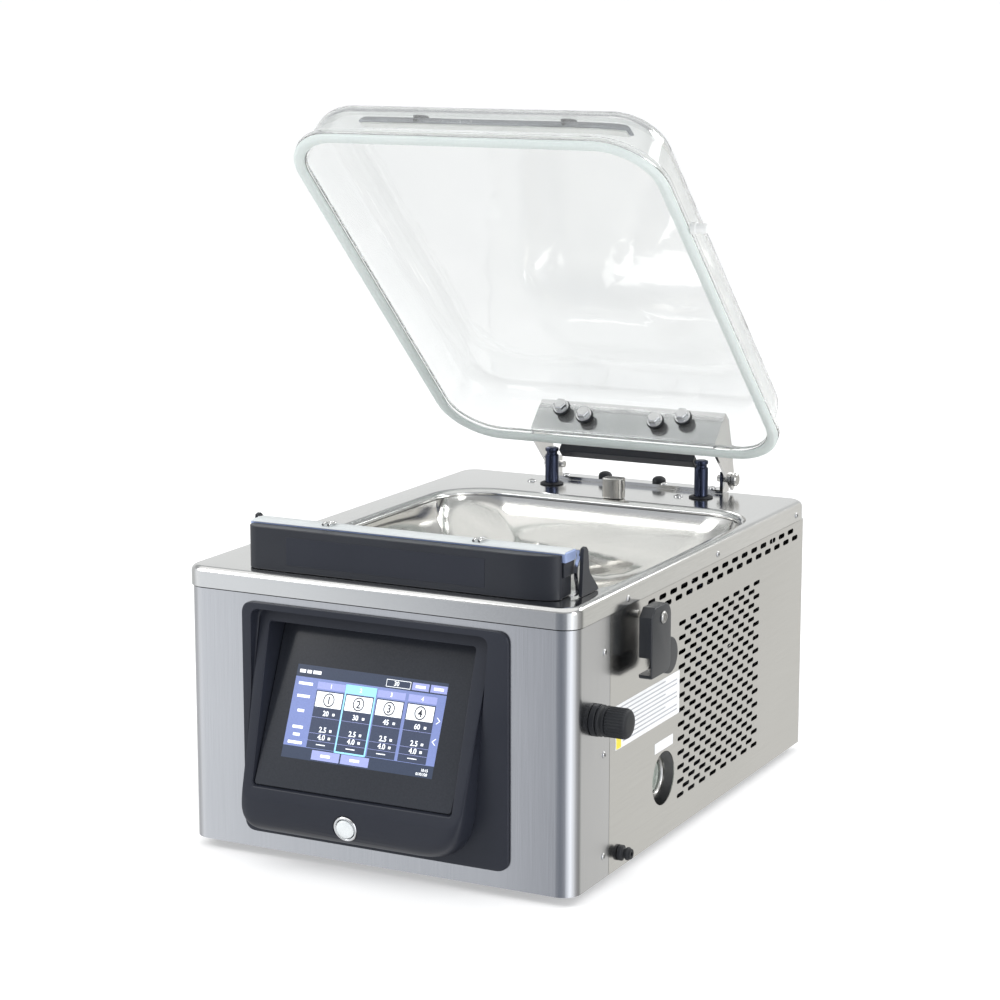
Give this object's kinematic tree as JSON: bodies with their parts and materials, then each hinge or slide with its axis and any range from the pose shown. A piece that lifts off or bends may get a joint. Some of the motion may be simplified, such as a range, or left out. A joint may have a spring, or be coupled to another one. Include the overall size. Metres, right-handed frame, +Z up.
{
  "type": "vacuum packing machine",
  "caption": "Table-top chamber vacuum packing machine: steel cabinet with a touch panel, pressed steel chamber with a heated seal bar, and a clear domed lid on gas springs.",
  "frame": {"origin": "middle of the bottom of the whole machine's box, on the surface it stands on, lid open as shown", "axes": "+Z up, -Y towards the user at the control panel, +X towards the machine's right side as the user sees it (the side with the latch and the outlet)"},
  "size_m": [0.3706, 0.5084, 0.5875],
  "materials": {
    "brushed_steel": "brushed, fine vertical grain",
    "polished_steel": "polished stainless steel",
    "black_plastic": "satin moulded black",
    "black_rubber": "matt",
    "clear_acrylic": "clear, moulded, polished",
    "gasket_silicone": "translucent silicone",
    "white_plastic": "satin white",
    "smoked_plastic": "smoked translucent",
    "white_silicone": "matt",
    "seal_bar_blue": "anodised blue-grey",
    "dark_metal": "dark polished rod",
    "cast_aluminium": "cast",
    "screen_glass": "glossy dark touch glass",
    "chrome": "mirror",
    "button_white": "satin white",
    "transformer_iron": "laminated, varnished",
    "circuit_board": "solder mask",
    "sight_glass": "clear"
  },
  "bodies": {
    "cabinet": {"base_pan": "brushed_steel", "button_ring": "chrome", "chamber_basin": "polished_steel", "control_bezel": "black_plastic", "control_board": "circuit_board", "deck": "polished_steel", "drain_spigot": "black_rubber", "exhaust_stub": "black_plastic", "fan_ring": "black_plastic", "foot_front_left": "black_rubber", "foot_front_right": "black_rubber", "foot_rear_left": "black_rubber", "foot_rear_right": "black_rubber", "front_panel": "brushed_steel", "gas_cylinder_left": "dark_metal", "gas_cylinder_right": "dark_metal", "hinge_base": "polished_steel", "hinge_pin_left": "polished_steel", "hinge_pin_right": "polished_steel", "latch_boss": "black_plastic", "latch_screw": "polished_steel", "lid_stop_left": "black_rubber", "lid_stop_right": "black_rubber", "oil_sight_glass": "sight_glass", "power_inlet": "black_plastic", "pump_motor": "cast_aluminium", "rear_panel": "brushed_steel", "rod_grommet_left": "black_rubber", "rod_grommet_right": "black_rubber", "seal_bar_base": "black_plastic", "seal_foot_left": "black_plastic", "seal_foot_right": "black_plastic", "seal_front_cover": "black_plastic", "seal_spring_left": "polished_steel", "seal_spring_right": "polished_steel", "side_cover_left": "polished_steel", "side_cover_right": "polished_steel", "touch_display": "screen_glass", "transformer": "transformer_iron", "vacuum_hose": "black_rubber", "vacuum_pump": "cast_aluminium"},
    "lid": {"lid_dome": "clear_acrylic", "lid_gasket": "gasket_silicone", "lid_bracket": "polished_steel", "lid_cross_bar": "black_plastic", "pressure_bar": "smoked_plastic", "pressure_pad": "white_silicone", "pressure_knob_left": "black_plastic", "pressure_knob_right": "black_plastic", "lid_lock_pin": "white_plastic"},
    "strut_left": {"strut_rod_left": "dark_metal"},
    "strut_right": {"strut_rod_right": "dark_metal"},
    "start_button": {"start_button": "button_white"},
    "latch_lever": {"latch_lever": "black_plastic"},
    "clip_left": {"bag_clip_left": "polished_steel"},
    "clip_right": {"bag_clip_right": "polished_steel"},
    "seal_bar": {"seal_bar": "seal_bar_blue"},
    "nozzle_cap": {"nozzle_cap": "black_rubber"},
    "suction_cover": {"suction_cover": "polished_steel"},
    "fan_rotor": {"fan_rotor": "black_plastic"}
  },
  "joints": [
    {"name": "lid_hinge", "type": "hinge", "parent": "cabinet", "child": "lid", "pos_m": [-0.0028, 0.24765, 0.244], "axis": [1, 0, 0], "range_deg": [0, 43.4]},
    {"name": "strut_left_slide", "type": "slide", "parent": "cabinet", "child": "strut_left", "axis": [0, 0, 1], "range_m": [-0.036, 0]},
    {"name": "strut_right_slide", "type": "slide", "parent": "cabinet", "child": "strut_right", "axis": [0, 0, 1], "range_m": [-0.036, 0]},
    {"name": "start_button_press", "type": "slide", "parent": "cabinet", "child": "start_button", "axis": [0, 0.9816, 0.1908], "range_m": [0, 0.003], "stiffness_N_per_m": 400},
    {"name": "latch_turn", "type": "hinge", "parent": "cabinet", "child": "latch_lever", "pos_m": [0.1562, -0.10635, 0.2025], "axis": [-1, 0, 0], "range_deg": [0, 127]},
    {"name": "seal_bar_lift", "type": "slide", "parent": "cabinet", "child": "seal_bar", "axis": [0, 0, -1], "range_m": [-0.03, 0]},
    {"name": "clip_left_turn", "type": "hinge", "parent": "seal_bar", "child": "clip_left", "pos_m": [-0.0698, -0.20225, 0.2692], "axis": [-1, 0, 0], "range_deg": [-100, 0]},
    {"name": "clip_right_turn", "type": "hinge", "parent": "seal_bar", "child": "clip_right", "pos_m": [0.0622, -0.20225, 0.2692], "axis": [-1, 0, 0], "range_deg": [-100, 0]},
    {"name": "suction_cover_lift", "type": "slide", "parent": "cabinet", "child": "suction_cover", "axis": [0, 0, -1], "range_m": [-0.03, 0]},
    {"name": "nozzle_cap_pull", "type": "slide", "parent": "cabinet", "child": "nozzle_cap", "axis": [1, 0, 0], "range_m": [0, 0.02]},
    {"name": "fan_spin", "type": "hinge", "parent": "cabinet", "child": "fan_rotor", "pos_m": [0.0562, 0.24195, 0.11], "axis": [0, 1, 0], "continuous": true}
  ],
  "couplings": [
    {"joint": "strut_left_slide", "follows": "lid_hinge", "m_per_rad": -0.047},
    {"joint": "strut_right_slide", "follows": "lid_hinge", "m_per_rad": -0.047}
  ]
}
